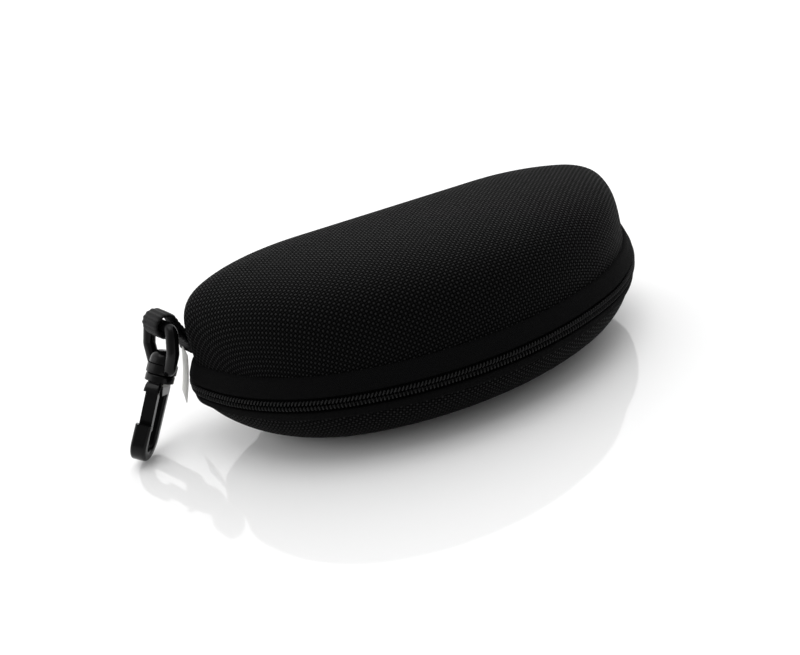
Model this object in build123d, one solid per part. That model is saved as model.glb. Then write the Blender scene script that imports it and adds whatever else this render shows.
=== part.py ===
"""Moulded zip case for eyeglasses, with a webbing loop and a swivel snap hook.

Millimetres. +Z is up, +X runs along the case, and the zip opens at the front, -Y.
The origin is in the middle of the flat patch that the case rests on. The forms are drawn about
the outline's long axis, and every piece is moved by the same amount when it is written.
"""

import os
from math import asin, atan, cos, degrees, pi, radians, sin

from build123d import *

# ---- driving dimensions -------------------------------------------------------------------
half_length = 80.0          # half the length over the zip
front_reach = 50.4          # from the long axis to the middle of the front
back_reach = 26.0           # from the long axis to the straight hinge edge
end_radius = 13.0           # plan radius at each end
end_turn = 21.3             # degrees of the end arc in front of the long axis
front_shoulder_radius = 66.0
back_shoulder_radius = 45.0
zip_height = 21.4           # the zip's middle line above the table
top_height = 52.3           # whole height of the closed case

band_height = 7.1           # upper band, from the zip line to its sewn edge
band_lean = 2.9             # how far the upper band leans in over that height
lower_band_height = 4.0     # lower band
lower_band_outer = 0.95     # inset of the lower band's bottom edge
skin_thickness = 0.7        # woven cloth
foam_thickness = 2.6        # moulded foam board
lining_thickness = 0.7      # brushed lining
lid_shell_inset = 3.6       # outside of the lid's cloth at the band's sewn edge
lid_rim_inset = 2.6         # and at its rim
base_shell_inset = 1.6      # outside of the base's cloth at its rim
rim_gap = 3.4               # each shell's rim stands this far from the zip line

lid_lean = 5.3              # the lid's crown stands this far behind its rim
base_lean = -10.5           # and the bowl's resting patch this far in front
base_cap = 0.95             # share of the bowl's depth where it turns flat
rest_y = -14.5              # middle of the resting patch, from the long axis

coil_depth = 1.5            # the coil's thickness, out from the tape
coil_inset = 0.1
coil_gap = 0.5              # half the slot between the two coils
coil_reach = 1.9            # from the zip line to the coil's outer edge
tape_start = 0.4            # the tape's free edge, from the zip line
tape_inner = 2.15           # inset of the tape's inner face at its free edge

hinge_axis_inset = -0.2     # the fold line stands just behind the cloth
hinge_slot = 0.6            # half the slot between the two hinge strips
track_end = 118.8           # degrees round the left shoulder where the lid's chain begins

slider_angle = 110.0        # the slider's place, in degrees round the left shoulder
slider_half_turn = 7.0
slider_play = 0.45          # from the outline to the slider's outer plate
plate_thickness = 1.4
inner_plate_inset = 2.6
inner_plate_thickness = 1.15
web_half = 0.3              # half the thickness of the slider's web

eye_pivot = Vector(-82.0, 11.3, 38.9)      # middle of the eye's bar
hook_down = Vector(-0.520, -0.198, -0.831).normalized()
gate_side = Vector(-0.40, -0.87, 0.30)
bar_side = Vector(0.31, -0.95, 0)         # the eye's bar, seen from above
eye_wire = 1.9              # radius of the eye's bar and legs
eye_half_width = 6.9
eye_belly = 7.6             # half width where the legs bulge
bar_lean = 3.9              # from the hook's axis to the eye's bar
bar_drop = 2.0
eye_base_radius = 4.6
head_radius = 4.2
stem_radius = 1.5
stem_clearance = 0.05
collar_radius = 4.4
hook_half_width = 6.4
hook_half_thickness = 2.4
hook_wall = 3.0
hook_length = 44.2          # from the top of the swivel's axis to the bottom of the hook
gate_knuckle = 1.35
gate_half_width = 1.9
gate_clearance = 0.08

strap_width = 9.0
strap_thickness = 1.4
strap_centre = Vector(-81.8, 11.3, 39.4)
label_root = Vector(-79.2, 11.3, 28.8)
label_tip = Vector(-82.1, 11.3, 13.4)
label_width = 10.0

# ---- plan outline: one front arc, then shoulder, end and back shoulder arcs, and a straight hinge


def outline_arcs():
    """(centre x, centre y, radius, start angle, end angle) of the right half's four arcs."""
    turn = radians(end_turn)
    end_x = half_length - end_radius
    reach = front_shoulder_radius - end_radius
    shoulder_x = end_x - reach * cos(turn)
    shoulder_y = reach * sin(turn)
    rise = (front_shoulder_radius - front_reach - shoulder_y) / shoulder_x
    meet = pi / 2 - 2 * atan(-rise)
    front_radius = front_shoulder_radius + shoulder_x / cos(meet)
    front_y = front_radius - front_reach
    back_turn = asin((back_shoulder_radius - back_reach) / (back_shoulder_radius - end_radius))
    back_x = end_x - (back_shoulder_radius - end_radius) * cos(back_turn)
    back_y = back_reach - back_shoulder_radius
    meet, turn, back_turn = degrees(meet), degrees(turn), degrees(back_turn)
    return [
        (0.0, front_y, front_radius, -90.0, -meet),
        (shoulder_x, shoulder_y, front_shoulder_radius, -meet, -turn),
        (end_x, 0.0, end_radius, -turn, back_turn),
        (back_x, back_y, back_shoulder_radius, back_turn, 90.0),
    ]


arcs = outline_arcs()
shoulder_centre_x, shoulder_centre_y = arcs[3][0], arcs[3][1]
hinge_half = shoulder_centre_x


def outline_wire(inset, z):
    """The outline moved in by inset, as exact arcs, at height z."""
    right = [CenterArc((x, y), r - inset, a, b - a) for x, y, r, a, b in arcs[1:]]
    left = [CenterArc((-x, y), r - inset, 180 - b, b - a) for x, y, r, a, b in reversed(arcs[1:])]
    x, y, r, a, b = arcs[0]
    front = CenterArc((x, y), r - inset, -180 - b, 2 * (b - a))
    back = Line((hinge_half, back_reach - inset), (-hinge_half, back_reach - inset))
    return Pos(0, 0, z) * Wire([front] + right + [back] + left)


def outline_points(inset):
    """Points round the moved-in outline, starting at the middle of the front."""
    steps = [9, 6, 9, 7]
    half = []
    for (x, y, r, a, b), n in zip(arcs, steps):
        for i in range(n):
            t = radians(a + (b - a) * i / n)
            half.append((x + (r - inset) * cos(t), y + (r - inset) * sin(t)))
    half += [(hinge_half * (1 - i / 4), back_reach - inset) for i in range(4)]
    middle = [(0.0, back_reach - inset)]
    return half + middle + [(-x, y) for x, y in reversed(half[1:])]


def level_wire(inset, along, front, back, shift, z):
    """The moved-in outline, scaled along X and to the front and back, shifted along Y, at height z."""
    points = []
    for x, y in outline_points(inset):
        points.append((x * along, y * (front if y < 0 else back) + shift, z))
    return Wire([Spline(*points, periodic=True)])


def lid_dome(depth):
    """The lid's outer form moved in by depth, filled, from its rim up."""
    foot = zip_height + band_height
    rise = top_height - depth - foot
    rim = zip_height + rim_gap
    middle_inset = (lid_rim_inset + lid_shell_inset) / 2
    wires = [
        level_wire(lid_rim_inset + depth, 1, 1, 1, 0, rim),
        level_wire(middle_inset + depth, 1, 1, 1, 0, (rim + foot) / 2),
    ]
    for t in (0.0, 0.15, 0.3, 0.45, 0.6, 0.72, 0.82, 0.9, 0.95, 0.98, 0.995):
        along = (1 - t**4.5) ** (1 / 6)
        front = (1 - t**5.9) ** (1 / 3.2)
        back = (1 - t**4.0) ** (1 / 2.5)
        z = foot + rise * t
        wires.append(level_wire(lid_shell_inset + depth, along, front, back, lid_lean * t, z))
    return Solid.make_loft(wires)


def base_bowl(depth):
    """The base's outer form moved in by depth, filled, from its rim down."""
    top = zip_height - lower_band_height
    fall = top - depth
    wires = [level_wire(base_shell_inset + depth, 1, 1, 1, 0, zip_height - rim_gap)]
    for t in (0.0, 0.08, 0.2, 0.34, 0.48, 0.62, 0.74, 0.84, 0.91, base_cap):
        along = (1 - t**1.1) ** (1 / 6)
        side = (1 - t**1.19) ** (1 / 2.86)
        z = depth + fall * (1 - t / base_cap)
        wires.append(level_wire(base_shell_inset + depth, along, side, side, base_lean * t, z))
    return Solid.make_loft(wires)


def slab(x0, x1, y0, y1, z0, z1):
    """A box from its corners."""
    return Pos((x0 + x1) / 2, (y0 + y1) / 2, (z0 + z1) / 2) * Box(x1 - x0, y1 - y0, z1 - z0)


def banded(stations):
    """A solid whose side runs through outlines given as (height above the zip line, inset)."""
    return Solid.make_loft([outline_wire(inset, zip_height + z) for z, inset in stations], ruled=True)


def left_sector(r_in, r_out, a0, a1, z0, z1):
    """Part of a ring about the left back shoulder's centre, with heights from the zip line."""
    centre = (-shoulder_centre_x, shoulder_centre_y)
    outer = CenterArc(centre, r_out, a0, a1 - a0)
    inner = CenterArc(centre, r_in, a0, a1 - a0)
    edges = [outer, Line(outer @ 1, inner @ 1), inner, Line(inner @ 0, outer @ 0)]
    face = make_face(Wire(edges).edges())
    return Pos(0, 0, zip_height + z0) * extrude(face, amount=z1 - z0, dir=(0, 0, 1))


# ---- shells ----------------------------------------------------------------------------------

layer_depths = [0, skin_thickness, skin_thickness + foam_thickness]
layer_depths.append(layer_depths[-1] + lining_thickness)


def layers(form):
    """Skin, foam and lining, each the space between two nested forms."""
    solids = [form(depth) for depth in layer_depths]
    return [outer - inner for outer, inner in zip(solids, solids[1:])]


lid_skin, lid_shell, lid_lining = layers(lid_dome)
base_skin, base_shell, base_lining = layers(base_bowl)

# ---- zip tapes, coils and the cloth hinge ------------------------------------------------------

back_y = 10.0
far = 120.0
hinge_space = slab(-hinge_half, hinge_half, back_y, far, 0, far)
track_x = -shoulder_centre_x + back_shoulder_radius * cos(radians(track_end))
parking_space = slab(track_x, -hinge_half, back_y, far, 0, zip_height + rim_gap + 0.1)
lid_form = lid_dome(0)
base_form = base_bowl(0)


def ring(z0, z1):
    """A band round the outline as deep as a coil."""
    inner_inset = coil_inset + coil_depth
    return banded([(z0, coil_inset), (z1, coil_inset)]) - banded([(z0, inner_inset), (z1, inner_inset)])


def make_lid_tape():
    outer = banded([(tape_start, 1.65), (2.0, 1.65), (band_height, band_lean)])
    inner = banded([(tape_start, tape_inner), (rim_gap, lid_rim_inset - 0.15)])
    return outer - inner - lid_form - hinge_space - parking_space


def make_base_tape():
    bottom = -lower_band_height - 0.5
    outer = banded([(bottom, lower_band_outer), (-2.0, 1.65), (-tape_start, 1.65)])
    inner = banded([(-rim_gap, base_shell_inset + 0.15), (-tape_start, tape_inner)])
    return outer - inner - base_form - hinge_space


def make_hinge_strip(side):
    """The cloth hinge's half on one shell: side is 1 on the lid and -1 on the base."""
    edge, foot, top = side * hinge_slot, side * 3.0, side * band_height
    form = lid_form
    outer_stations = [(edge, -0.5), (foot, 0.9), (top, band_lean)]
    inner_stations = [(edge, 0.15), (side * rim_gap, 2.2)]
    if side < 0:
        form = base_form
        bottom = -lower_band_height - 2.0
        outer_stations = [(bottom, 1.3), (foot, 0.4), (edge, -0.5)]
        inner_stations = [(-rim_gap, base_shell_inset - 0.15), (edge, 0.15)]
    strip = banded(outer_stations) - banded(inner_stations) - form
    return strip & hinge_space


lid_zip_tape = make_lid_tape()
base_zip_tape = make_base_tape()
lid_zip_coil = ring(coil_gap, coil_reach) - slab(track_x, hinge_half, back_y, far, 0, far)
base_zip_coil = ring(-coil_reach, -coil_gap) - hinge_space
lid_hinge_strip = make_hinge_strip(1)
base_hinge_strip = make_hinge_strip(-1)


def make_zip_tail():
    """The chain's closed end, past the lid's: the upper coil and tape, joined down at the hinge end."""
    r = back_shoulder_radius
    a0, a1 = 92.5, track_end - 0.8
    coil = left_sector(r - coil_inset - coil_depth, r - coil_inset, a0, a1, coil_gap, coil_reach)
    tape = left_sector(r - tape_inner, r - 1.6, a0, a1, coil_gap, 3.1)
    root = left_sector(r - tape_inner, r - coil_inset, a0, a0 + 4, -coil_gap + 0.1, coil_gap)
    return coil + tape + root


def make_end_stops():
    """A clip over the tail's joined end, and one on the base's chain at the right."""
    r_in, r_out = back_shoulder_radius - coil_inset, back_shoulder_radius + 0.5
    left = left_sector(r_in, r_out, 93.5, 96.0, -2.2, 2.2)
    right = left_sector(r_in, r_out, 93.5, 96.0, -2.2, -coil_gap)
    return Compound([left, mirror(right, about=Plane.YZ)])


zip_tail = make_zip_tail()
zip_end_stops = make_end_stops()

# ---- slider and pull ---------------------------------------------------------------------------

plate_outer = back_shoulder_radius + slider_play + plate_thickness
crown_reach = 2.4           # from the plate to the middle of the crown's bar
crown_wire = 0.6
crown_half = 3.0
pull_eye_hole = 0.95
pull_length = 17.0
pull_half_width = 2.6
pull_thickness = 1.3


def make_slider():
    """Two plates joined by a thin web that runs between the coils, with lips over the chain's edges."""
    r = back_shoulder_radius
    a0, a1 = slider_angle - slider_half_turn, slider_angle + slider_half_turn
    inner_r = r - inner_plate_inset
    outer = left_sector(r + slider_play, plate_outer, a0, a1, -4.0, 4.0)
    inner = left_sector(inner_r - inner_plate_thickness, inner_r, a0, a1, -3.0, 3.0)
    web = left_sector(inner_r, r + slider_play, a0 + 0.6, a0 + 4.6, -web_half, web_half)
    upper_lip = left_sector(r - 0.5, r + slider_play, a0, a1, 2.4, 3.4)
    lower_lip = left_sector(r - 0.5, r + slider_play, a0, a1, -3.4, -2.4)
    body = outer + inner + web + upper_lip + lower_lip
    short = body.edges().filter_by(lambda e: e.length < plate_thickness + 0.01)
    corners = short.filter_by(lambda e: abs(e.center().Z - zip_height) > 3.9)
    return fillet(corners, 1.2)


def slider_plane():
    """On the slider's outer plate: local X runs along the zip, local Y up, and local Z outwards."""
    t = radians(slider_angle)
    out = Vector(cos(t), sin(t), 0)
    along = Vector(-sin(t), cos(t), 0)
    origin = Vector(-shoulder_centre_x, shoulder_centre_y, zip_height) + out * plate_outer
    return Plane(origin=origin, x_dir=along, z_dir=out)


def make_crown():
    """The arch that the pull hangs on: a bar along the zip on two feet."""
    w, top = crown_half, crown_reach
    path = FilletPolyline((-w, 0, -0.05), (-w, 0, top), (w, 0, top), (w, 0, -0.05), radius=0.9)
    wire = sweep(Plane(origin=path @ 0, z_dir=path % 0) * Circle(crown_wire), path=path)
    return slider_plane().location * split(wire, bisect_by=Plane.XY, keep=Keep.TOP)


def make_pull():
    """A tab with an eye round the crown's bar, hanging down from it."""
    eye_outer = 2.0
    eye = Circle(eye_outer) - Circle(pull_eye_hole)
    eye_width = 2.6
    eye_solid = Plane.YZ.offset(-eye_width / 2) * extrude(eye, amount=eye_width)
    half = pull_thickness / 2
    neck = slab(-eye_width / 2, eye_width / 2, -4.6, -pull_eye_hole - 0.25, -half, half)
    tab = slab(-pull_half_width, pull_half_width, -pull_length, -4.0, -half, half)
    tab = fillet(tab.edges().filter_by(Axis.Z), 1.4)
    slot = slab(-1.1, 1.1, -pull_length + 2.2, -pull_length + 4.4, -2, 2)
    body = eye_solid + neck + tab - slot
    return slider_plane().location * (Pos(0, 0, crown_reach) * body)


zip_slider = make_slider()
slider_crown = make_crown()
pull_tab = make_pull()

# ---- swivel eye, hook and gate -------------------------------------------------------------------

hook_up = hook_down * -1
gate_dir = (gate_side - hook_up * gate_side.dot(hook_up)).normalized()
bar_dir = (bar_side - hook_up * bar_side.dot(hook_up)).normalized()
swivel_top = eye_pivot + hook_up.cross(bar_dir) * bar_lean + hook_up * bar_drop
hook_plane = Plane(origin=swivel_top, x_dir=gate_dir, z_dir=hook_up)
eye_plane = Plane(origin=swivel_top, x_dir=bar_dir, z_dir=hook_up)
eye_foot = -16.5            # bottom of the eye's base, below its bar
eye_foot_top = -13.7
bend_z = -hook_length + hook_half_width    # centre of the hook's round bottom
nose_top = -32.2
gate_pivot_x, gate_pivot_z = 3.9, -21.2


def make_eye():
    """A D-shaped loop on a round base with a hole for the hook's stem."""
    middle = (eye_foot + eye_foot_top) / 2
    half = [(eye_half_width, -bar_lean, -bar_drop), (eye_belly, -bar_lean / 2, -9.0), (4.6, 0, middle)]
    corners = half + [(-x, y, z) for x, y, z in reversed(half)]
    path = FilletPolyline(*corners, radius=2.4, close=True)
    loop = sweep(Plane(origin=path @ 0, z_dir=path % 0) * Circle(eye_wire), path=path)
    base = Pos(0, 0, middle) * Cylinder(eye_base_radius, eye_foot_top - eye_foot)
    flat = slab(-12, 12, -12, 12, eye_foot, 12)
    hole = Pos(0, 0, middle) * Cylinder(stem_radius + stem_clearance, 12)
    head_room = Pos(0, 0, eye_foot_top + 1) * Cylinder(head_radius + 0.2, 2)
    return eye_plane.location * ((loop & flat) + base - hole - head_room)


def upright(width, bottom, top):
    """A flat rectangle about the hook's middle line."""
    return Pos(0, (bottom + top) / 2) * Rectangle(width, top - bottom)


def make_hook():
    """Stem with a domed head, collar, spine, round bottom and nose, in one moulding."""
    head = Pos(0, 0, -11.4) * Cylinder(head_radius, 4.2)
    head = fillet(head.edges().sort_by(Axis.Z)[-1], 3.2)
    stem = Pos(0, 0, -16) * Cylinder(stem_radius, 6)
    collar = Pos(0, 0, -17.9) * Cylinder(collar_radius, 2.4)
    collar = fillet(collar.edges().sort_by(Axis.Z)[-1], 0.8)
    w, inner = hook_half_width, hook_half_width - hook_wall
    shank = upright(2 * w, bend_z, -18.6)
    shank = fillet(shank.vertices().group_by(Axis.Y)[-1], 3.6)
    outline = shank + Pos(0, bend_z) * Circle(w)
    space = upright(2 * inner, bend_z, -23.2) + Pos(0, bend_z) * Circle(inner)
    gate_space = Pos(5.4, 0) * upright(6.4, nose_top, -22.0)
    lip_space = Pos(2.2, 0) * upright(4.2, nose_top - 4.0, nose_top)
    r = gate_knuckle + gate_clearance
    swing_way = Polygon((-r, 0), (-2.75, -2.4), (r, -2.4), (r, 0), align=None)
    knuckle_space = Pos(gate_pivot_x, gate_pivot_z) * (Circle(r) + swing_way)
    profile = outline - space - gate_space - lip_space - knuckle_space
    body = extrude(Plane.XZ * profile, amount=hook_half_thickness, both=True)
    rims = body.edges().filter_by(lambda e: abs(abs(e.center().Y) - hook_half_thickness) < 0.01)
    body = fillet(rims.filter_by(lambda e: e.center().Z < bend_z), 0.9)
    return hook_plane.location * (head + stem + collar + body)


def make_gate():
    """A straight tongue on a round knuckle, closing against the inside of the nose."""
    reach = gate_pivot_z - nose_top + 1.7
    tongue = Pos(-0.15, -reach / 2 - 0.5) * Rectangle(2.0, reach)
    profile = Circle(gate_knuckle) + Rot(0, 0, -4.5) * tongue
    profile = Pos(gate_pivot_x, gate_pivot_z) * profile
    return hook_plane.location * extrude(Plane.XZ * profile, amount=gate_half_width, both=True)


swivel_eye = make_eye()
hook_body = make_hook()
hook_gate = make_gate()

# ---- webbing loop and label ------------------------------------------------------------------------


def make_strap():
    """Webbing folded round the eye's bar, its two ends sewn under the lid's band."""
    outer, inner = 4.1, 4.1 - strap_thickness
    ring_face = Circle(outer) - Circle(inner)
    side = [(-1.2, -3.9), (3.4, -12.5), (8.0, -12.5), (7.6, -6.0), (4.05, 0.6)]
    tail = Polygon(*side, align=None) - Circle(inner)
    side_plane = Plane(origin=strap_centre, x_dir=(-bar_side.Y, bar_side.X, 0), z_dir=bar_side)
    profile = side_plane * (ring_face + tail)
    strap = extrude(profile, amount=strap_width / 2, both=True)
    return strap - lid_form - banded([(tape_start, 0.0), (2.0, 1.0), (band_height, band_lean)])


def make_label():
    """A blank cloth label sewn in with the webbing's ends, hanging down from them."""
    down = label_tip - label_root
    plane = Plane(origin=label_root, x_dir=(0, 1, 0), z_dir=down.normalized())
    flap = plane.location * (Pos(0, 0, down.length / 2) * Box(label_width, 0.4, down.length))
    return flap - webbing_loop


webbing_loop = make_strap()
care_label = make_label()

# ---- files -------------------------------------------------------------------------------------------

nodes = {
    "base_shell": base_shell,
    "base_skin": base_skin,
    "base_lining": base_lining,
    "base_zip_tape": base_zip_tape,
    "base_zip_coil": base_zip_coil,
    "base_hinge_strip": base_hinge_strip,
    "zip_tail": zip_tail,
    "zip_end_stops": zip_end_stops,
    "care_label": care_label,
    "lid_shell": lid_shell,
    "lid_skin": lid_skin,
    "lid_lining": lid_lining,
    "lid_zip_tape": lid_zip_tape,
    "lid_zip_coil": lid_zip_coil,
    "lid_hinge_strip": lid_hinge_strip,
    "webbing_loop": webbing_loop,
    "zip_slider": zip_slider,
    "slider_crown": slider_crown,
    "pull_tab": pull_tab,
    "swivel_eye": swivel_eye,
    "hook_body": hook_body,
    "hook_gate": hook_gate,
}

os.makedirs("parts", exist_ok=True)
for name, shape in nodes.items():
    export_step(Pos(0, -rest_y, 0) * shape, f"parts/{name}.step")

# ---- joint lines, as placed --------------------------------------------------------------------------

shoulder_line = Vector(-shoulder_centre_x, shoulder_centre_y, zip_height)
pull_line = slider_plane().origin + slider_plane().z_dir * crown_reach
gate_line = hook_plane.origin + hook_plane.x_dir * gate_pivot_x + hook_plane.z_dir * gate_pivot_z
lines = {
    "lid hinge": (Vector(0, back_reach - hinge_axis_inset, zip_height), Vector(-1, 0, 0)),
    "slider track": (shoulder_line, Vector(0, 0, -1)),
    "pull": (pull_line, slider_plane().x_dir * -1),
    "eye": (eye_pivot, bar_dir * -1),
    "hook": (swivel_top, hook_up),
    "gate": (gate_line, hook_plane.y_dir),
}
for name, (point, axis) in lines.items():
    point = point - Vector(0, rest_y, 0)
    print(name, [round(v, 3) for v in point], [round(v, 4) for v in axis])
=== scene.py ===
"""Zip case for eyeglasses with a webbing loop and a swivel hook: its looks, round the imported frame.

Lengths in the modelling code are millimetres about the outline's long axis, as in the CAD source.
place() turns them into metres in the frame.
"""

import math

import bpy
from mathutils import Matrix, Vector


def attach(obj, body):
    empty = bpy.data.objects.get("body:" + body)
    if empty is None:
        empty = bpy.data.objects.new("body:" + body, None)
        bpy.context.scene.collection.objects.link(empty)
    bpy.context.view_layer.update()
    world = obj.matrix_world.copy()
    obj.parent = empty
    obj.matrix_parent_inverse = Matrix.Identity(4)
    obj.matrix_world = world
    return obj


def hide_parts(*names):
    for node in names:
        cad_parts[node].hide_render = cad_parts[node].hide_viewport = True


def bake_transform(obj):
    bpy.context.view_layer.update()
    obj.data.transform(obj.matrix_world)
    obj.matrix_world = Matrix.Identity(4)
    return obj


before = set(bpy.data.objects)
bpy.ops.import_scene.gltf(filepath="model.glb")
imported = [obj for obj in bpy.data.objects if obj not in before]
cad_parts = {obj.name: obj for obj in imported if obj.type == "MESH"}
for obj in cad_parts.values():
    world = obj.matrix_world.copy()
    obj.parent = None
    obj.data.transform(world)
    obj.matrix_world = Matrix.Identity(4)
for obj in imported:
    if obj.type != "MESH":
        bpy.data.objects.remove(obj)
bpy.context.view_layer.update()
scene = bpy.context.scene

# ---- sizes, in millimetres -----------------------------------------------------------------------

AXIS_Y = 14.5               # the outline's long axis stands behind the frame's origin
ZIP = 21.4                  # height of the zip's middle line
TOP = 52.3
HALF_LENGTH = 80.0
FRONT_REACH = 50.4
BACK_REACH = 26.0
END_RADIUS = 13.0
END_TURN = math.radians(21.3)
FRONT_SHOULDER = 66.0
BACK_SHOULDER = 45.0
BAND = 7.1                  # upper band's height
LOWER_BAND = 4.0
RIM_GAP = 3.4
LID_RIM_INSET = 2.6
LID_INSET = 3.6
BASE_INSET = 1.6
LID_LEAN = 5.3
BASE_LEAN = -10.5
BASE_CAP = 0.95
SKIN = 0.7
LINING_OUT, LINING_IN = 3.3, 4.0
TAIL_END = 118.0            # degrees round the left back shoulder
LID_CHAIN_START = 118.8
WEAVE = 0.94                # yarn pitch of the outer cloth
HERRINGBONE = 2.4           # pitch of the tape's zigzag, its ribs and its rows
TAPE_RIB = 0.62
TAPE_ROW = 0.42


def place(x, y, z):
    return Vector((x, y + AXIS_Y, z)) * 0.001


# ---- outline -------------------------------------------------------------------------------------


def right_arcs():
    """(centre x, centre y, radius, start, end) of the right half's arcs, from the front middle."""
    end_x = HALF_LENGTH - END_RADIUS
    reach = FRONT_SHOULDER - END_RADIUS
    x2, y2 = end_x - reach * math.cos(END_TURN), reach * math.sin(END_TURN)
    rise = (FRONT_SHOULDER - FRONT_REACH - y2) / x2
    meet = math.pi / 2 - 2 * math.atan(-rise)
    r1 = FRONT_SHOULDER + x2 / math.cos(meet)
    back = math.asin((BACK_SHOULDER - BACK_REACH) / (BACK_SHOULDER - END_RADIUS))
    x4 = end_x - (BACK_SHOULDER - END_RADIUS) * math.cos(back)
    return [
        (0.0, r1 - FRONT_REACH, r1, -math.pi / 2, -meet),
        (x2, y2, FRONT_SHOULDER, -meet, -END_TURN),
        (end_x, 0.0, END_RADIUS, -END_TURN, back),
        (x4, BACK_REACH - BACK_SHOULDER, BACK_SHOULDER, back, math.pi / 2),
    ]


ARCS = right_arcs()
HINGE_HALF = ARCS[3][0]
ARC_LENGTHS = [r * (b - a) for _, _, r, a, b in ARCS]
HALF_LINE = sum(ARC_LENGTHS)            # from the front middle to the hinge's right end
OUTLINE_LENGTH = 2 * (HALF_LINE + HINGE_HALF)


def outline(s):
    """x, y and outward normal at distance s round the outline, from the front middle."""
    s %= OUTLINE_LENGTH
    flip = s > OUTLINE_LENGTH / 2
    if flip:
        s = OUTLINE_LENGTH - s
    sign = -1 if flip else 1
    for (cx, cy, r, a, _), length in zip(ARCS, ARC_LENGTHS):
        if s <= length:
            t = a + s / r
            nx, ny = math.cos(t), math.sin(t)
            return sign * (cx + r * nx), cy + r * ny, sign * nx, ny
        s -= length
    return sign * (HINGE_HALF - s), BACK_REACH, 0.0, 1.0


def inset_point(s, inset):
    x, y, nx, ny = outline(s)
    return x - nx * inset, y - ny * inset


def left_back_distance(degrees):
    """Distance round the outline of an angle round the left back shoulder's centre."""
    return OUTLINE_LENGTH - HALF_LINE + BACK_SHOULDER * math.radians(degrees - 90)


# ---- mesh helpers --------------------------------------------------------------------------------


def mesh_piece(name, verts, faces, material, uvs=None):
    """A mesh object with one material and, where given, a UV for each vertex."""
    mesh = bpy.data.meshes.new(name)
    mesh.from_pydata([tuple(v) for v in verts], [], faces)
    mesh.materials.append(material)
    mesh.polygons.foreach_set("use_smooth", [True] * len(mesh.polygons))
    if uvs is not None:
        layer = mesh.uv_layers.new(name="cloth")
        for loop in mesh.loops:
            layer.data[loop.index].uv = uvs[loop.vertex_index]
    mesh.validate()
    mesh.update()
    piece = bpy.data.objects.new(name, mesh)
    scene.collection.objects.link(piece)
    return piece


def bridge(a, b, count):
    """Faces between two closed rows of vertices that start at indices a and b."""
    return [(a + i, a + (i + 1) % count, b + (i + 1) % count, b + i) for i in range(count)]


# ---- cloth-covered shells ------------------------------------------------------------------------

COLUMNS = 320
RIM_STEPS = 4
LID_STEPS = 40
LID_CROWDING = 2.6           # rows stand closer towards the crown
NEARLY_ONE = 1 - 2e-6
BASE_STEPS = 32
BASE_CROWDING = 1.1
LID_ALONG, LID_FRONT, LID_BACK = (4.5, 6), (5.9, 3.2), (4.0, 2.5)     # powers and roots of the domes
BASE_ALONG, BASE_SIDE = (1.1, 6), (1.19, 2.86)
DRAPE_MIDDLE = -10           # y the cloth's fall is evened out round
DRAPE_DEPTH = 40
CROWN_RINGS = (0.8, 0.6, 0.4, 0.2, 0.08)


def level(inset, along, front, back, shift, z):
    """One closed row of points of a dome."""
    row = []
    for i in range(COLUMNS):
        x, y = inset_point(i * OUTLINE_LENGTH / COLUMNS, inset)
        row.append((x * along, y * (front if y < 0 else back) + shift, z))
    return row


def narrowing(t, power, root):
    """How far a dome's row has drawn in at share t of its rise: 1 at the foot, 0 at the crown."""
    return (1 - t**power) ** (1 / root)


def lid_rows(depth):
    """Rows of the lid's form moved in by depth, from its rim to its crown."""
    foot = ZIP + BAND
    rise = TOP - depth - foot
    rows = []
    for i in range(RIM_STEPS):
        t = i / RIM_STEPS
        inset = LID_RIM_INSET + (LID_INSET - LID_RIM_INSET) * t + depth
        rows.append(level(inset, 1, 1, 1, 0, ZIP + RIM_GAP + (BAND - RIM_GAP) * t))
    for i in range(LID_STEPS + 1):
        t = 1 - (1 - i / LID_STEPS) ** LID_CROWDING if i < LID_STEPS else NEARLY_ONE
        along, front, back = narrowing(t, *LID_ALONG), narrowing(t, *LID_FRONT), narrowing(t, *LID_BACK)
        rows.append(level(LID_INSET + depth, along, front, back, LID_LEAN * t, foot + rise * t))
    return rows


def base_rows(depth):
    """Rows of the base's form moved in by depth, from its rim down to its resting patch."""
    top = ZIP - LOWER_BAND
    fall = top - depth
    rows = [level(BASE_INSET + depth, 1, 1, 1, 0, ZIP - RIM_GAP)]
    for i in range(BASE_STEPS + 1):
        t = BASE_CAP * (i / BASE_STEPS) ** BASE_CROWDING
        along, side = narrowing(t, *BASE_ALONG), narrowing(t, *BASE_SIDE)
        z = depth + fall * (1 - t / BASE_CAP)
        rows.append(level(BASE_INSET + depth, along, side, side, BASE_LEAN * t, z))
    return rows


def soft_normal(x, y):
    """Direction in which cloth laid over the form runs down at (x, y): the outline's, evened out."""
    v = Vector((x / HALF_LENGTH**2, (y - DRAPE_MIDDLE) / DRAPE_DEPTH**2))
    return v.normalized() if v.length > 1e-9 else Vector((0, 1))


def drape_uvs(rows):
    """UVs, in millimetres, of a flat cloth laid on the crown and down the sides."""
    uvs = [None] * len(rows)
    uvs[-1] = [Vector(p[:2]) for p in rows[-1]]
    for k in range(len(rows) - 2, -1, -1):
        line = []
        for i, (p, q) in enumerate(zip(rows[k], rows[k + 1])):
            flat = Vector((p[0] - q[0], p[1] - q[1]))
            step = (Vector(p) - Vector(q)).length
            line.append(uvs[k + 1][i] + flat + soft_normal(p[0], p[1]) * (step - flat.length))
        uvs[k] = line
    return uvs


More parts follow.
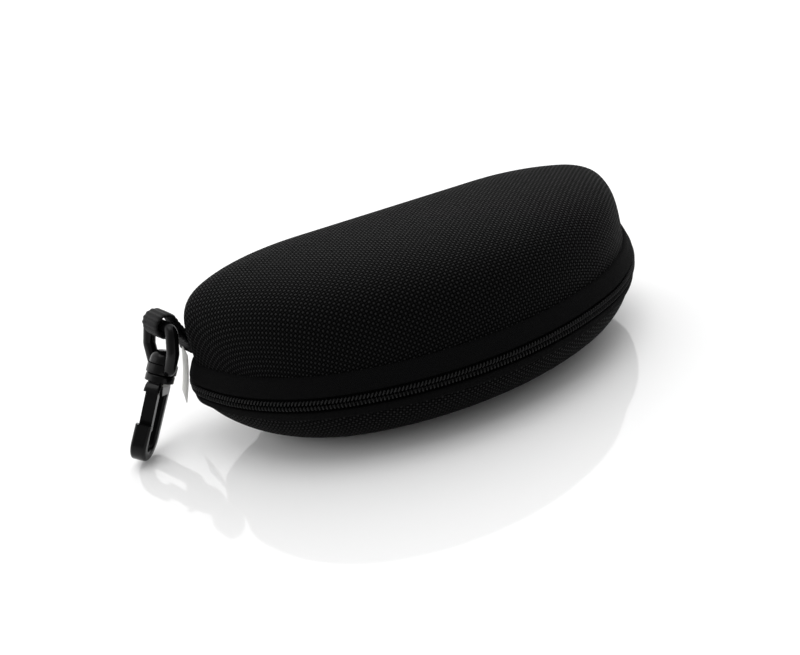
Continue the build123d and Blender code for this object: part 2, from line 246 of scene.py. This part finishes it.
def shell_piece(name, rows_of, outer_depth, inner_depth, material):
    """A closed shell between two depths of a form, joined round its rim."""
    verts, uvs, faces, starts = [], [], [], []
    for depth in (outer_depth, inner_depth):
        rows = rows_of(depth)
        low = rows[-1]
        centre_x = sum(p[0] for p in low) / COLUMNS
        centre_y = sum(p[1] for p in low) / COLUMNS
        cap = []
        for share in CROWN_RINGS:
            ring = [(centre_x + (x - centre_x) * share, centre_y + (y - centre_y) * share) for x, y, _ in low]
            cap.append([(x, y, low[0][2]) for x, y in ring])
        rows = rows + cap
        flat = drape_uvs(rows)
        start = len(verts)
        starts.append(start)
        for row, line in zip(rows, flat):
            verts += [place(*p) for p in row]
            uvs += line
        for k in range(len(rows) - 1):
            faces += bridge(start + k * COLUMNS, start + (k + 1) * COLUMNS, COLUMNS)
        tip = len(verts)
        verts.append(place(centre_x, centre_y, low[0][2]))
        uvs.append(Vector((centre_x, centre_y)))
        last = start + (len(rows) - 1) * COLUMNS
        faces += [(last + i, last + (i + 1) % COLUMNS, tip) for i in range(COLUMNS)]
        if depth == inner_depth:
            inner_from = start
    half = len(faces) // 2
    upward = rows_of is lid_rows
    outer_faces, inner_faces = faces[:half], faces[half:]
    flip = [tuple(reversed(f)) for f in (inner_faces if upward else outer_faces)]
    faces = (outer_faces + flip) if upward else (flip + inner_faces)
    rim = bridge(inner_from, starts[0], COLUMNS)
    faces += rim if upward else [tuple(reversed(f)) for f in rim]
    return mesh_piece(name, verts, faces, material, uvs)


# ---- pieces swept round the outline --------------------------------------------------------------


def swept_band(name, profile, start, end, step, material):
    """A closed profile of (inset, height from the zip line) swept round part of the outline."""
    count = max(2, int(round((end - start) / step)))
    stations = count + 1
    verts, uvs, faces = [], [], []
    n = len(profile)
    run = [0.0]
    for (i0, z0), (i1, z1) in zip(profile, profile[1:] + profile[:1]):
        run.append(run[-1] + math.hypot(i1 - i0, z1 - z0))
    for k in range(stations):
        s = start + (end - start) * k / count
        for (inset, z), v in zip(profile, run):
            x, y = inset_point(s, inset)
            verts.append(place(x, y, ZIP + z))
            uvs.append(Vector((s, v)))
    for k in range(count):
        a, b = k * n, (k + 1) * n
        faces += [(a + i, b + i, b + (i + 1) % n, a + (i + 1) % n) for i in range(n)]
    faces.append(tuple(range(n)))
    faces.append(tuple(reversed(range(count * n, count * n + n))))
    return mesh_piece(name, verts, faces, material, uvs)


CORNER_STEPS = 4


def rounded_profile(points, radius):
    """A closed profile with its corners rounded."""
    out = []
    n = len(points)
    for i in range(n):
        p, q, r = Vector(points[i - 1]), Vector(points[i]), Vector(points[(i + 1) % n])
        a, b = (p - q), (r - q)
        cut = min(radius, a.length * 0.45, b.length * 0.45)
        a, b = q + a.normalized() * cut, q + b.normalized() * cut
        for k in range(CORNER_STEPS + 1):
            t = k / CORNER_STEPS
            out.append(tuple((1 - t) ** 2 * a + 2 * t * (1 - t) * q + t**2 * b))
    return out


COIL_PITCH = 1.08
COIL_SIDES = 6
COIL_STEPS = 12
COIL_WIRE = 0.25
COIL_INSET = 0.88            # middle of the coil, in from the outline
COIL_RISE = 0.86             # middle of the coil, from the zip line
COIL_HALF_DEPTH = 0.5
COIL_HALF_HEIGHT = 0.55
COIL_LEAN = 0.16


def coil_piece(name, start, end, side, material):
    """A flattened nylon helix along part of the outline: side is 1 above the zip line, -1 below."""
    turns = int((end - start) / COIL_PITCH)
    total = turns * COIL_STEPS
    line, centres = [], []
    for k in range(total + 1):
        angle = 2 * math.pi * k / COIL_STEPS
        s = start + COIL_PITCH * k / COIL_STEPS
        inset = COIL_INSET - COIL_HALF_DEPTH * math.cos(angle)
        z = side * (COIL_RISE + COIL_HALF_HEIGHT * math.sin(angle))
        lean = COIL_LEAN * math.sin(angle) * side
        x, y = inset_point(s + lean, inset)
        line.append(place(x, y, ZIP + z))
        x, y = inset_point(s, COIL_INSET)
        centres.append(place(x, y, ZIP + side * COIL_RISE))
    verts, faces = [], []
    for k in range(total + 1):
        tangent = (line[min(k + 1, total)] - line[max(k - 1, 0)]).normalized()
        out = (line[k] - centres[k]).normalized()
        out = (out - tangent * out.dot(tangent)).normalized()
        across = tangent.cross(out)
        for j in range(COIL_SIDES):
            a = 2 * math.pi * j / COIL_SIDES
            verts.append(line[k] + (out * math.cos(a) + across * math.sin(a)) * COIL_WIRE * 0.001)
    for k in range(total):
        faces += bridge(k * COIL_SIDES, (k + 1) * COIL_SIDES, COIL_SIDES)
    faces.append(tuple(reversed(range(COIL_SIDES))))
    faces.append(tuple(range(total * COIL_SIDES, total * COIL_SIDES + COIL_SIDES)))
    return mesh_piece(name, verts, faces, material)


# ---- materials -----------------------------------------------------------------------------------


class Nodes:
    """Short calls for building one material's node tree."""

    def __init__(self, name, base_color, roughness, **sockets):
        self.material = bpy.data.materials.new(name)
        self.material.use_nodes = True
        self.tree = self.material.node_tree
        self.shader = self.tree.nodes["Principled BSDF"]
        self.shader.inputs["Base Color"].default_value = (*base_color, 1)
        self.shader.inputs["Roughness"].default_value = roughness
        for socket, value in sockets.items():
            self.shader.inputs[socket.replace("_", " ")].default_value = value

    def link(self, source, target):
        self.tree.links.new(source, target)

    def add(self, kind, **settings):
        node = self.tree.nodes.new(kind)
        for key, value in settings.items():
            setattr(node, key, value)
        return node

    def math(self, operation, a, b=None):
        node = self.add("ShaderNodeMath", operation=operation)
        for i, value in enumerate((a, b)):
            if value is None:
                continue
            if isinstance(value, (int, float)):
                node.inputs[i].default_value = value
            else:
                self.link(value, node.inputs[i])
        return node.outputs[0]

    def mix(self, share, low, high):
        """Colour between low and high by share."""
        node = self.add("ShaderNodeMix", data_type="RGBA")
        self.link(share, node.inputs["Factor"])
        for name, value in (("A", low), ("B", high)):
            socket = next(s for s in node.inputs if s.name == name and s.type == "RGBA")
            socket.default_value = (*value, 1)
        return next(s for s in node.outputs if s.type == "RGBA")

    def range(self, value, low, high):
        """Value, from 0 to 1, spread from low to high."""
        node = self.add("ShaderNodeMapRange")
        self.link(value, node.inputs["Value"])
        node.inputs["To Min"].default_value = low
        node.inputs["To Max"].default_value = high
        return node.outputs["Result"]

    def noise(self, vector, scale, detail=4.0, roughness=0.6):
        node = self.add("ShaderNodeTexNoise")
        self.link(vector, node.inputs["Vector"])
        node.inputs["Scale"].default_value = scale
        node.inputs["Detail"].default_value = detail
        node.inputs["Roughness"].default_value = roughness
        return node.outputs["Fac"]

    def uv(self):
        node = self.add("ShaderNodeUVMap")
        node.uv_map = "cloth"
        split = self.add("ShaderNodeSeparateXYZ")
        self.link(node.outputs[0], split.inputs[0])
        return node.outputs[0], split.outputs[0], split.outputs[1]

    def position(self):
        """The piece's own coordinates, in metres."""
        return self.add("ShaderNodeTexCoord").outputs["Object"]

    def stretched(self, vector, scale):
        node = self.add("ShaderNodeMapping")
        node.inputs["Scale"].default_value = scale
        self.link(vector, node.inputs["Vector"])
        return node.outputs[0]

    def bump(self, height, distance, strength):
        node = self.add("ShaderNodeBump")
        node.inputs["Distance"].default_value = distance
        node.inputs["Strength"].default_value = strength
        self.link(height, node.inputs["Height"])
        return node.outputs[0]

    def set(self, socket, value):
        self.link(value, self.shader.inputs[socket])


def woven_material():
    """Coarse ballistic weave: fat yarns crossing over and under, every second crossing standing up; the low
    crossings are painted darker, as painted shade in the weave's hollows.
    """
    m = Nodes("woven_cloth", (0.012, 0.012, 0.013), 0.5, Specular_IOR_Level=0.07)
    uv, u, v = m.uv()
    wave_u = m.math("SINE", m.math("MULTIPLY", u, math.pi / WEAVE))
    wave_v = m.math("SINE", m.math("MULTIPLY", v, math.pi / WEAVE))
    product = m.math("MULTIPLY", wave_u, wave_v)
    over = m.math("POWER", m.math("MAXIMUM", product, 0.0), 0.75)
    under = m.math("POWER", m.math("MAXIMUM", m.math("MULTIPLY", product, -1.0), 0.0), 0.8)
    height = m.math("ADD", over, m.math("MULTIPLY", under, 0.38))
    strands = m.noise(m.stretched(uv, (0.9, 7.0, 1.0)), 1.0, 3.0)
    strands_across = m.noise(m.stretched(uv, (7.0, 0.9, 1.0)), 1.0, 3.0)
    is_over = m.math("GREATER_THAN", product, 0.0)
    fibre = m.math("ADD", m.math("MULTIPLY", strands, is_over),
                   m.math("MULTIPLY", strands_across, m.math("SUBTRACT", 1.0, is_over)))
    full = m.math("ADD", height, m.math("MULTIPLY", fibre, 0.22))
    m.set("Normal", m.bump(full, 0.0004, 1.0))
    broad = m.noise(m.position(), 22.0, 3.0)
    # Colour: painted shade, darker where the weave is low (height), times random tone from the fibres and
    # from a broad noise.
    share = m.math("MULTIPLY", m.range(height, 0.0, 1.0), m.range(fibre, 0.35, 1.2))
    share = m.math("MULTIPLY", share, m.range(broad, 0.75, 1.2))
    m.set("Base Color", m.mix(share, (0.0003, 0.0003, 0.00035), (0.0095, 0.0095, 0.0099)))
    m.set("Roughness", m.range(m.math("MULTIPLY", height, fibre), 0.75, 0.5))
    m.set("Specular IOR Level", m.range(height, 0.0, 0.16))
    return m.material


def tape_material():
    """Fine herringbone tape, slightly fuzzy."""
    m = Nodes("zip_tape", (0.01, 0.01, 0.011), 0.8, Specular_IOR_Level=0.05)
    uv, u, v = m.uv()
    slant = m.math("ABSOLUTE", m.math("SUBTRACT", m.math("MODULO", v, HERRINGBONE), HERRINGBONE / 2))
    ribs = m.math("SINE", m.math("MULTIPLY", m.math("ADD", u, slant), 2 * math.pi / TAPE_RIB))
    rows = m.math("SINE", m.math("MULTIPLY", v, 2 * math.pi / TAPE_ROW))
    weave = m.math("ADD", m.math("MULTIPLY", ribs, 0.5), m.math("MULTIPLY", rows, 0.3))
    fuzz = m.noise(uv, 3.2, 6.0, 0.75)
    m.set("Normal", m.bump(m.math("ADD", weave, m.math("MULTIPLY", fuzz, 2.4)), 0.00022, 1.0))
    m.set("Base Color", m.mix(fuzz, (0.0001, 0.0001, 0.00012), (0.0062, 0.0062, 0.0066)))
    m.set("Roughness", m.range(fuzz, 0.7, 0.92))
    return m.material


def lining_material():
    """Short brushed pile."""
    m = Nodes("lining", (0.03, 0.03, 0.032), 0.95, Sheen_Weight=0.5, Sheen_Roughness=0.4)
    pile = m.noise(m.position(), 2600.0, 3.0, 0.7)
    brushed = m.noise(m.stretched(m.position(), (90.0, 30.0, 40.0)), 1.0, 4.0)
    m.set("Normal", m.bump(m.math("ADD", pile, m.math("MULTIPLY", brushed, 0.8)), 0.0002, 0.8))
    share = m.math("MULTIPLY", m.math("ADD", pile, brushed), 0.5)
    m.set("Base Color", m.mix(share, (0.014, 0.014, 0.016), (0.055, 0.055, 0.058)))
    m.set("Roughness", m.range(pile, 0.85, 1.0))
    return m.material


def foam_material():
    """Cut foam board: fine open cells, their pits painted darker as painted shade."""
    m = Nodes("foam_board", (0.02, 0.02, 0.02), 0.9)
    cells = m.add("ShaderNodeTexVoronoi", feature="SMOOTH_F1")
    m.link(m.position(), cells.inputs["Vector"])
    cells.inputs["Scale"].default_value = 3000.0
    spots = cells.outputs["Distance"]
    m.set("Normal", m.bump(spots, 0.00015, 0.8))
    # Colour: painted shade, darker in the pits at the cells' middles.
    m.set("Base Color", m.mix(spots, (0.008, 0.008, 0.008), (0.035, 0.035, 0.036)))
    m.set("Roughness", m.range(spots, 0.8, 0.97))
    return m.material


def coil_material():
    """Nylon monofilament, a little worn on its outer turns."""
    m = Nodes("zip_coil", (0.012, 0.012, 0.013), 0.4, Specular_IOR_Level=0.2)
    rub = m.noise(m.position(), 900.0, 4.0)
    m.set("Normal", m.bump(rub, 0.00004, 0.6))
    m.set("Base Color", m.mix(rub, (0.0012, 0.0012, 0.0014), (0.007, 0.007, 0.0075)))
    m.set("Roughness", m.range(rub, 0.3, 0.55))
    return m.material


def webbing_material():
    """Polypropylene webbing: ribs across, fine yarn along; the valleys between the ribs are painted darker,
    as painted shade.
    """
    m = Nodes("webbing", (0.012, 0.012, 0.013), 0.6, Specular_IOR_Level=0.16)
    uv, u, v = m.uv()
    warp = m.math("ABSOLUTE", m.math("SINE", m.math("MULTIPLY", v, math.pi / 0.55)))
    weft = m.math("SINE", m.math("MULTIPLY", u, 2 * math.pi / 1.25))
    fibre = m.noise(m.stretched(uv, (1.5, 12.0, 1.0)), 1.0, 3.0)
    across = m.math("ADD", m.math("MULTIPLY", weft, 0.4), m.math("MULTIPLY", fibre, 0.5))
    height = m.math("ADD", m.math("MULTIPLY", warp, 0.6), across)
    m.set("Normal", m.bump(height, 0.00018, 0.9))
    # Colour: painted shade, darker in the valleys between ribs and yarns, with random tone from the fibre
    # noise.
    m.set("Base Color", m.mix(m.range(height, 0.0, 1.0), (0.0006, 0.0006, 0.0007), (0.010, 0.010, 0.0105)))
    m.set("Roughness", m.range(fibre, 0.5, 0.75))
    return m.material


def plastic_material():
    """Moulded gloss plastic: faint flow waviness, tiny scuffs."""
    m = Nodes("hook_plastic", (0.007, 0.007, 0.0075), 0.18, Specular_IOR_Level=0.16)
    where = m.position()
    flow = m.noise(where, 260.0, 2.0)
    scuff = m.noise(m.stretched(where, (900.0, 5000.0, 900.0)), 1.0, 4.0, 0.7)
    m.set("Normal", m.bump(m.math("ADD", flow, m.math("MULTIPLY", scuff, 0.12)), 0.00006, 0.5))
    m.set("Roughness", m.range(m.math("MULTIPLY", scuff, flow), 0.08, 0.4))
    m.set("Base Color", m.mix(scuff, (0.0015, 0.0015, 0.0017), (0.005, 0.005, 0.0052)))
    return m.material


def metal_material():
    """Black enamel on die-cast zinc, rubbed on its edges."""
    m = Nodes("slider_metal", (0.012, 0.012, 0.013), 0.28, Coat_Weight=0.4, Coat_Roughness=0.15)
    geometry = m.add("ShaderNodeNewGeometry")
    speck = m.noise(m.position(), 1800.0, 5.0, 0.7)
    edge = m.math("MULTIPLY", m.range(geometry.outputs["Pointiness"], -6.0, 7.0), speck)
    worn = m.math("MINIMUM", m.math("MAXIMUM", m.math("SUBTRACT", edge, 0.75), 0.0), 1.0)
    m.set("Base Color", m.mix(worn, (0.01, 0.01, 0.011), (0.16, 0.155, 0.15)))
    m.set("Metallic", m.math("MULTIPLY", worn, 0.9))
    m.set("Roughness", m.range(speck, 0.2, 0.42))
    m.set("Normal", m.bump(speck, 0.00003, 0.5))
    return m.material


def label_material():
    """Blank satin ribbon."""
    m = Nodes("label_cloth", (0.8, 0.8, 0.77), 0.55, Sheen_Weight=0.2)
    uv, u, v = m.uv()
    threads = m.math("SINE", m.math("MULTIPLY", v, 2 * math.pi / 0.3))
    speckle = m.noise(uv, 1.4, 4.0)
    m.set("Normal", m.bump(m.math("ADD", threads, speckle), 0.00004, 0.6))
    m.set("Base Color", m.mix(speckle, (0.68, 0.68, 0.63), (0.86, 0.86, 0.82)))
    m.set("Roughness", m.range(speckle, 0.45, 0.65))
    return m.material


WOVEN = woven_material()
TAPE = tape_material()
LINING = lining_material()
FOAM = foam_material()
COIL = coil_material()
WEBBING = webbing_material()
PLASTIC = plastic_material()
METAL = metal_material()
LABEL = label_material()

# ---- camera --------------------------------------------------------------------------------------


CAMERA_ANGLES = (-20.48, 26.77, -10.68)      # azimuth, elevation and roll, in degrees
CAMERA_TARGET = (-16.75, -17.15, 25.0)
CAMERA_DISTANCE = 0.24371                    # in metres
SENSOR, LENS = 36.0, 35.83


def make_camera():
    """The camera, rolled a little, looking down at the case from the front left."""
    azimuth, elevation, roll = (math.radians(v) for v in CAMERA_ANGLES)
    back = Vector((
        math.sin(azimuth) * math.cos(elevation),
        -math.cos(azimuth) * math.cos(elevation),
        math.sin(elevation),
    ))
    target = place(*CAMERA_TARGET)
    right = (-back).cross(Vector((0, 0, 1))).normalized()
    up = right.cross(-back)
    tilted_right = right * math.cos(roll) + up * math.sin(roll)
    tilted_up = up * math.cos(roll) - right * math.sin(roll)
    turn = Matrix((tilted_right, tilted_up, back)).transposed()
    data = bpy.data.cameras.new("camera")
    data.sensor_width = SENSOR
    data.lens = LENS
    data.clip_start = 0.01
    data.clip_end = 20.0
    camera = bpy.data.objects.new("camera", data)
    camera.matrix_world = Matrix.Translation(target + back * CAMERA_DISTANCE) @ turn.to_4x4()
    scene.collection.objects.link(camera)
    scene.camera = camera


make_camera()

# ---- shells --------------------------------------------------------------------------------------

lid_cloth = shell_piece("lid_cloth", lid_rows, 0.0, SKIN, WOVEN)
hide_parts("lid_skin")
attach(lid_cloth, "lid")
base_cloth = shell_piece("base_cloth", base_rows, 0.0, SKIN, WOVEN)
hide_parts("base_skin")
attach(base_cloth, "base")
lid_pile = shell_piece("lid_pile", lid_rows, LINING_OUT, LINING_IN, LINING)
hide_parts("lid_lining")
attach(lid_pile, "lid")
base_pile = shell_piece("base_pile", base_rows, LINING_OUT, LINING_IN, LINING)
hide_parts("base_lining")
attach(base_pile, "base")

# ---- tapes, bands and coils ----------------------------------------------------------------------

CHAIN_END = HALF_LINE           # the chain runs round the front, from the hinge's left end to its right
HINGE_LEFT = OUTLINE_LENGTH - HALF_LINE
TAIL_STOP = left_back_distance(TAIL_END) - OUTLINE_LENGTH
LID_START = left_back_distance(LID_CHAIN_START) - OUTLINE_LENGTH
CHAIN_FROM = HINGE_LEFT - OUTLINE_LENGTH

UPPER_CORNERS = [(0.62, 2.3), (0.72, 3.2), (2.3, 6.6), (2.95, 7.5), (3.9, 7.6), (2.55, 3.6), (1.7, 2.3)]
LOWER_CORNERS = [
    (0.62, -2.3), (1.7, -2.3), (1.75, -3.3), (1.75, -5.0), (1.25, -5.1), (0.85, -4.6), (0.68, -3.2),
]
upper_band = rounded_profile(UPPER_CORNERS, 0.35)
lower_band = rounded_profile(LOWER_CORNERS, 0.3)
upper_tape = [(1.65, 0.4), (1.65, 2.6), (2.15, 2.6), (2.15, 0.4)]
lower_tape = [(1.65, -2.6), (1.65, -0.4), (2.15, -0.4), (2.15, -2.6)]

lid_band = swept_band("lid_band", upper_band, CHAIN_FROM, CHAIN_END, 1.2, TAPE)
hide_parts("lid_zip_tape")
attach(lid_band, "lid")
lid_tape = swept_band("lid_tape", upper_tape, LID_START, CHAIN_END, 1.2, TAPE)
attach(lid_tape, "lid")
base_band = swept_band("base_band", lower_band, CHAIN_FROM, CHAIN_END, 1.2, TAPE)
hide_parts("base_zip_tape")
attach(base_band, "base")
base_tape = swept_band("base_tape", lower_tape, CHAIN_FROM, CHAIN_END, 1.2, TAPE)
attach(base_tape, "base")

lid_coil = coil_piece("lid_coil", LID_START, CHAIN_END, 1, COIL)
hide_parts("lid_zip_coil")
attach(lid_coil, "lid")
base_coil = coil_piece("base_coil", CHAIN_FROM, CHAIN_END, -1, COIL)
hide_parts("base_zip_coil")
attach(base_coil, "base")
tail_coil = coil_piece("tail_coil", CHAIN_FROM + 1.5, TAIL_STOP, 1, COIL)
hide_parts("zip_tail")
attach(tail_coil, "base")
tail_tape = swept_band("tail_tape", upper_tape, CHAIN_FROM + 1.0, TAIL_STOP, 1.2, TAPE)
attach(tail_tape, "base")

# ---- cloth hinge ---------------------------------------------------------------------------------


def make_hinge_cloth():
    """One strip of the outer cloth across the back, folding on the hinge line."""
    line = [
        (1.55, -6.6), (1.1, -5.4), (0.62, -4.2), (0.3, -3.2), (0.05, -2.4), (-0.1, -1.7),
        (-0.2, -1.1), (-0.24, -0.55), (-0.25, 0.0), (-0.24, 0.55), (-0.2, 1.1),
        (-0.05, 1.7), (0.2, 2.4), (0.7, 3.4), (1.45, 4.8), (2.3, 6.4), (3.0, 7.6),
    ]
    thick = 0.55
    profile = line + [(inset + thick, z) for inset, z in reversed(line)]
    start, end = HALF_LINE - 0.6, OUTLINE_LENGTH - HALF_LINE + 0.6
    return swept_band("hinge_cloth", profile, start, end, 1.4, WOVEN)


hinge_cloth = make_hinge_cloth()
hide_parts("lid_hinge_strip", "base_hinge_strip")
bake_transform(hinge_cloth)

# ---- webbing loop --------------------------------------------------------------------------------

STRAP_CENTRE = Vector((-81.8, 11.3, 39.4))
STRAP_ACROSS = Vector((0.95, 0.31, 0.0)).normalized()
STRAP_ALONG_BAR = Vector((-0.31, 0.95, 0.0)).normalized()
STRAP_RADIUS = 3.4           # of the turn round the eye's bar
STRAP_WIDTH = 9.0
STRAP_THICK = 1.45
RIB = 1.5                    # pitch of the webbing's ribs
STRAP_STEP = 0.16


def strap_line():
    """Centre line of the folded webbing, from its outer end over the bar to its inner end."""
    line = [(5.6, -11.8), (5.4, -10.0), (4.9, -8.0), (3.9, -5.6), (2.6, -3.9)]
    for k in range(21):
        a = math.radians(300 - 300 * k / 20)
        line.append((STRAP_RADIUS * math.cos(a), STRAP_RADIUS * math.sin(a)))
    line += [(4.4, -2.6), (5.6, -5.2), (6.5, -7.8), (6.9, -10.0), (7.1, -11.8)]
    curve = bpy.data.curves.new("strap_line", "CURVE")
    curve.dimensions = "3D"
    curve.resolution_u = 10
    spline = curve.splines.new("NURBS")
    spline.points.add(len(line) - 1)
    for point, (across, up) in zip(spline.points, line):
        p = STRAP_CENTRE + STRAP_ACROSS * across + Vector((0, 0, up))
        point.co = (*place(*p), 1)
    spline.order_u = 3
    spline.use_endpoint_u = True
    holder = bpy.data.objects.new("strap_line", curve)
    mesh = bpy.data.meshes.new_from_object(holder)
    points = [v.co.copy() for v in mesh.vertices]
    bpy.data.objects.remove(holder)
    bpy.data.curves.remove(curve)
    bpy.data.meshes.remove(mesh)
    return points


def make_webbing():
    """Ribbed webbing: a rounded flat section swept along its line, swelling at each rib."""
    points = strap_line()
    run = [0.0]
    for p, q in zip(points, points[1:]):
        run.append(run[-1] + (q - p).length * 1000)
    count = int(run[-1] / STRAP_STEP)
    sides = 20
    verts, uvs, faces = [], [], []
    k = 0
    for i in range(count + 1):
        s = run[-1] * i / count
        while k < len(run) - 2 and run[k + 1] < s:
            k += 1
        t = (s - run[k]) / (run[k + 1] - run[k])
        p = points[k].lerp(points[k + 1], t)
        tangent = (points[min(k + 2, len(points) - 1)] - points[max(k - 1, 0)]).normalized()
        out = STRAP_ALONG_BAR.cross(tangent).normalized()
        rib = math.cos(2 * math.pi * s / RIB)
        half_width = (STRAP_WIDTH / 2) * (1 + 0.02 * rib)
        half_thick = (STRAP_THICK / 2) * (0.9 + 0.14 * rib)
        for j in range(sides):
            a = 2 * math.pi * j / sides
            c, d = math.cos(a), math.sin(a)
            w = half_width * math.copysign(abs(c) ** 0.35, c)
            h = half_thick * math.copysign(abs(d) ** 0.7, d)
            verts.append(p + (STRAP_ALONG_BAR * w + out * h) * 0.001)
            uvs.append(Vector((s, w)))
        if i:
            faces += bridge((i - 1) * sides, i * sides, sides)
    faces.append(tuple(reversed(range(sides))))
    faces.append(tuple(range(count * sides, count * sides + sides)))
    return mesh_piece("webbing_strap", verts, faces, WEBBING, uvs)


webbing_strap = make_webbing()
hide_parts("webbing_loop")
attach(webbing_strap, "lid")

# ---- label ---------------------------------------------------------------------------------------

LABEL_WIDTH, LABEL_LENGTH = 10.0, 15.6
LABEL_THICK = 0.22
LABEL_BOW = 0.35
LABEL_TWIST = 0.05
LABEL_ROOT, LABEL_TIP = Vector((-77.7, 11.3, 28.6)), Vector((-82.1, 11.3, 13.4))


def make_label():
    """A blank label, curling a little towards its free end."""
    across, down = 12, 18
    verts, uvs, faces = [], [], []
    for side in (0.0, LABEL_THICK):
        for j in range(down + 1):
            t = j / down
            p = LABEL_ROOT.lerp(LABEL_TIP, t)
            for i in range(across + 1):
                w = (i / across - 0.5) * LABEL_WIDTH
                x = p.x + LABEL_TWIST * w * t + LABEL_BOW * math.sin(math.pi * t) + side
                verts.append(place(x, p.y + w, p.z))
                uvs.append(Vector((w, t * LABEL_LENGTH)))
    n = across + 1
    layer = n * (down + 1)
    for j in range(down):
        for i in range(across):
            a = j * n + i
            faces.append((a, a + 1, a + n + 1, a + n))
            faces.append((layer + a, layer + a + n, layer + a + n + 1, layer + a + 1))
    border = list(range(n)) + [j * n + across for j in range(1, down + 1)]
    border += [down * n + i for i in range(across - 1, -1, -1)] + [j * n for j in range(down - 1, 0, -1)]
    for a, b in zip(border, border[1:] + border[:1]):
        faces.append((b, a, layer + a, layer + b))
    return mesh_piece("blank_label", verts, faces, LABEL, uvs)


blank_label = make_label()
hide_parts("care_label")
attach(blank_label, "lid")

# ---- CAD pieces that stay: finer edges and their own materials -----------------------------------

WELD_DISTANCE = 2e-6
BEVEL_ANGLE = 40
CAD_LOOKS = {                # the material and the width of the rounded edges, in millimetres
    "base_shell": (FOAM, 0.0),
    "lid_shell": (FOAM, 0.0),
    "zip_slider": (METAL, 0.25),
    "slider_crown": (METAL, 0.0),
    "pull_tab": (METAL, 0.22),
    "zip_end_stops": (METAL, 0.12),
    "swivel_eye": (PLASTIC, 0.25),
    "hook_body": (PLASTIC, 0.35),
    "hook_gate": (PLASTIC, 0.25),
}
for node, (material, edge) in CAD_LOOKS.items():
    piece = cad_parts[node]
    piece.data.materials.clear()
    piece.data.materials.append(material)
    if edge:
        weld = piece.modifiers.new("weld", "WELD")
        weld.merge_threshold = WELD_DISTANCE
        bevel = piece.modifiers.new("bevel", "BEVEL")
        bevel.width = edge * 0.001
        bevel.segments = 3
        bevel.limit_method = "ANGLE"
        bevel.angle_limit = math.radians(BEVEL_ANGLE)
        bevel.harden_normals = True

# ---- stage ---------------------------------------------------------------------------------------


def make_floor():
    """A pale, slightly glossy sheet that runs far behind the case."""
    size = 8.0
    verts = [(-size, -size, 0), (size, -size, 0), (size, size, 0), (-size, size, 0)]
    mesh = bpy.data.meshes.new("floor")
    mesh.from_pydata(verts, [], [(0, 1, 2, 3)])
    m = Nodes("floor", (0.93, 0.93, 0.93), 0.06, Specular_IOR_Level=0.8)
    mesh.materials.append(m.material)
    floor = bpy.data.objects.new("floor", mesh)
    scene.collection.objects.link(floor)


def make_light(name, location, target, size, power):
    data = bpy.data.lights.new(name, "AREA")
    data.shape = "RECTANGLE"
    data.size, data.size_y = size
    data.energy = power
    light = bpy.data.objects.new(name, data)
    light.location = location
    light.rotation_mode = "QUATERNION"
    light.rotation_quaternion = (Vector(target) - Vector(location)).to_track_quat("-Z", "Y")
    scene.collection.objects.link(light)


SKY_DARK, SKY_BRIGHT = 0.3, 1.45             # radiance of the front and of the back of the studio
SKY_FROM, SKY_TO = -0.7, 0.3                 # the directions' y between which it changes


def make_world():
    """White surroundings, dim towards the front and bright behind the case."""
    world = bpy.data.worlds.new("studio")
    world.use_nodes = True
    sky = world.node_tree
    background = sky.nodes["Background"]
    background.inputs["Color"].default_value = (1, 1, 1, 1)
    where = sky.nodes.new("ShaderNodeTexCoord")
    parts = sky.nodes.new("ShaderNodeSeparateXYZ")
    spread = sky.nodes.new("ShaderNodeMapRange")
    spread.inputs["From Min"].default_value = SKY_FROM
    spread.inputs["From Max"].default_value = SKY_TO
    spread.inputs["To Min"].default_value = SKY_DARK
    spread.inputs["To Max"].default_value = SKY_BRIGHT
    sky.links.new(where.outputs["Generated"], parts.inputs[0])
    sky.links.new(parts.outputs["Y"], spread.inputs["Value"])
    sky.links.new(spread.outputs["Result"], background.inputs["Strength"])
    scene.world = world


make_floor()
make_world()
scene.view_settings.view_transform = "Standard"
make_light("top_soft", (0.0, -0.1, 1.5), (0.0, 0.0, 0.0), (1.2, 0.8), 5.0)
make_light("left_soft", (-0.9, 0.1, 0.5), (0.0, 0.0, 0.03), (0.6, 0.5), 0.6)
